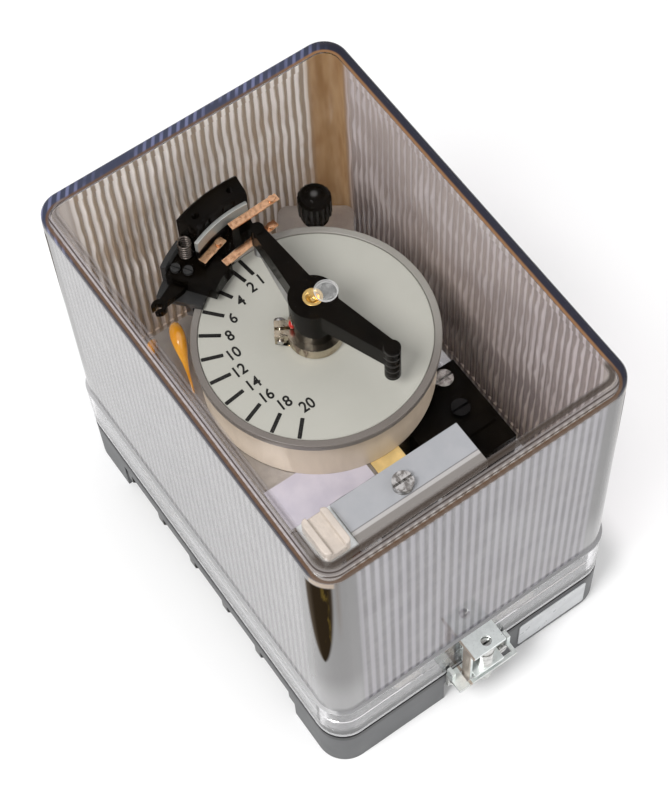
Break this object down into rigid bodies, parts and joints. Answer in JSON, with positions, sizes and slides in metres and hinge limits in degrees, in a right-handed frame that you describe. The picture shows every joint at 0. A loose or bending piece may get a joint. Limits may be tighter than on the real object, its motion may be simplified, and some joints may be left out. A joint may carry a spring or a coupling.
{
  "type": "time relay",
  "caption": "Panel-mounted clockwork time relay with a clear fluted cover over a scale dial, a turning contact arm and a settable contact block.",
  "frame": {"origin": "bottom centre of the base, on the panel face", "axes": "+Z from the panel out through the window, X along the short side, Y along the long side with the pictured latch on -Y"},
  "size_m": [0.1, 0.152, 0.136],
  "materials": {
    "dark_moulding": "dark grey moulded phenolic, satin",
    "black_moulding": "black moulded plastic, semi-gloss",
    "gasket_rubber": "black rubber",
    "clear_cover": "clear moulded plastic, fluted inside, polished outside",
    "zinc_plate": "zinc-plated sheet, satin",
    "bright_screw": "bright nickel",
    "brass": "brass, slightly dull",
    "steel": "steel, brushed",
    "chassis_paint": "grey lacquered sheet",
    "coil_wrap": "varnished wrapper",
    "coil_bobbin": "brown phenolic",
    "spring_steel": "blued spring steel",
    "lever_brass": "passivated brass sheet",
    "copper": "copper alloy contact strip",
    "plate_nickel": "nickel-plated movement plate",
    "drum_lacquer": "beige lacquered drum, glossy",
    "dial_face": "pale dial with black scale",
    "bracket_black": "black oxidised steel",
    "name_plate": "bare aluminium plate, satin",
    "label": "bare pale label plate",
    "cream_moulding": "cream moulded block",
    "yellow_insulation": "yellow insulation",
    "amber_sleeve": "amber varnished sleeve"
  },
  "bodies": {
    "frame": {"base": "dark_moulding", "terminal_block_left": "black_moulding", "terminal_block_right": "black_moulding", "terminal_studs": "brass", "terminal_nuts": "brass", "gasket": "gasket_rubber", "front_label": "label", "latch_bracket_front": "zinc_plate", "latch_bracket_rear": "zinc_plate", "bracket_screws": "bright_screw", "chassis": "chassis_paint", "chassis_screws": "bright_screw", "standoff_posts": "steel", "yoke": "steel", "bobbin": "coil_bobbin", "winding": "coil_wrap", "return_spring": "spring_steel", "lever_stand": "lever_brass", "lever_pin": "steel", "switch_block": "black_moulding", "switch_contacts": "copper", "switch_screws": "bright_screw", "lower_plate": "brass", "upper_plate": "plate_nickel", "pillars": "brass", "drive_spring": "spring_steel", "drum": "drum_lacquer", "dial": "dial_face", "knob_stud": "bright_screw", "nameplate_bracket": "zinc_plate", "nameplate": "name_plate", "nameplate_screw": "bright_screw", "lead_block": "cream_moulding", "insulation_block": "yellow_insulation", "leads": "amber_sleeve"},
    "cover": {"cover": "clear_cover", "cover_bracket_front": "zinc_plate", "cover_bracket_rear": "zinc_plate"},
    "cover_screw_front": {"cover_screw_front": "bright_screw"},
    "cover_screw_rear": {"cover_screw_rear": "bright_screw"},
    "arm": {"main_arbor": "steel", "main_wheel": "brass", "arm": "black_moulding", "hub_bush": "brass", "hub_collar": "brass", "collar_screw": "bright_screw", "arm_contact": "steel"},
    "second_wheel": {"second_wheel": "brass"},
    "escape_wheel": {"escape_wheel": "brass"},
    "pallet_fork": {"pallet_fork": "steel"},
    "contact_block": {"block_bracket": "bracket_black", "block_body": "black_moulding", "block_plate": "steel", "block_contacts": "copper", "block_finger": "black_moulding", "block_spring": "spring_steel", "block_screws": "bracket_black"},
    "knob": {"knob": "black_moulding"},
    "plunger": {"plunger": "steel"},
    "release_lever": {"release_lever": "lever_brass"}
  },
  "joints": [
    {"name": "cover_lift", "type": "slide", "parent": "frame", "child": "cover", "axis": [0, 0, 1], "range_m": [0, 0.14]},
    {"name": "cover_screw_front_turn", "type": "hinge", "parent": "cover", "child": "cover_screw_front", "pos_m": [0, -0.0733, 0.03], "axis": [0, 0, 1], "continuous": true},
    {"name": "cover_screw_rear_turn", "type": "hinge", "parent": "cover", "child": "cover_screw_rear", "pos_m": [0, 0.0733, 0.03], "axis": [0, 0, 1], "continuous": true},
    {"name": "arm_turn", "type": "hinge", "parent": "frame", "child": "arm", "pos_m": [0.0015, 0.0095, 0.1], "axis": [0, 0, 1], "range_deg": [0, 136.8]},
    {"name": "second_wheel_turn", "type": "hinge", "parent": "frame", "child": "second_wheel", "pos_m": [-0.01977, 0.01325, 0.065], "axis": [0, 0, 1], "range_deg": [-685, 0]},
    {"name": "escape_wheel_turn", "type": "hinge", "parent": "frame", "child": "escape_wheel", "pos_m": [-0.01464, 0.02735, 0.065], "axis": [0, 0, 1], "range_deg": [0, 3421]},
    {"name": "pallet_rock", "type": "hinge", "parent": "frame", "child": "pallet_fork", "pos_m": [-0.00511, 0.03285, 0.065], "axis": [0, 0, 1], "range_deg": [-4, 4]},
    {"name": "block_set", "type": "hinge", "parent": "frame", "child": "contact_block", "pos_m": [0.0015, 0.0095, 0.1], "axis": [0, 0, 1], "range_deg": [-4, 124]},
    {"name": "knob_turn", "type": "hinge", "parent": "frame", "child": "knob", "pos_m": [0.02433, 0.04271, 0.1], "axis": [0, 0, 1], "continuous": true},
    {"name": "plunger_slide", "type": "slide", "parent": "frame", "child": "plunger", "axis": [0, 0, 1], "range_m": [-0.006, 0], "stiffness_N_per_m": 60, "springref_m": 0.006, "deforming": ["return_spring"]},
    {"name": "release_lever_turn", "type": "hinge", "parent": "frame", "child": "release_lever", "pos_m": [-0.006, -0.029, 0.07325], "axis": [-1, 0, 0], "range_deg": [-22.3, 0]}
  ],
  "couplings": [
    {"joint": "second_wheel_turn", "follows": "arm_turn", "ratio": -5},
    {"joint": "escape_wheel_turn", "follows": "arm_turn", "ratio": 25},
    {"joint": "release_lever_turn", "follows": "plunger_slide", "rad_per_m": 63.42}
  ]
}
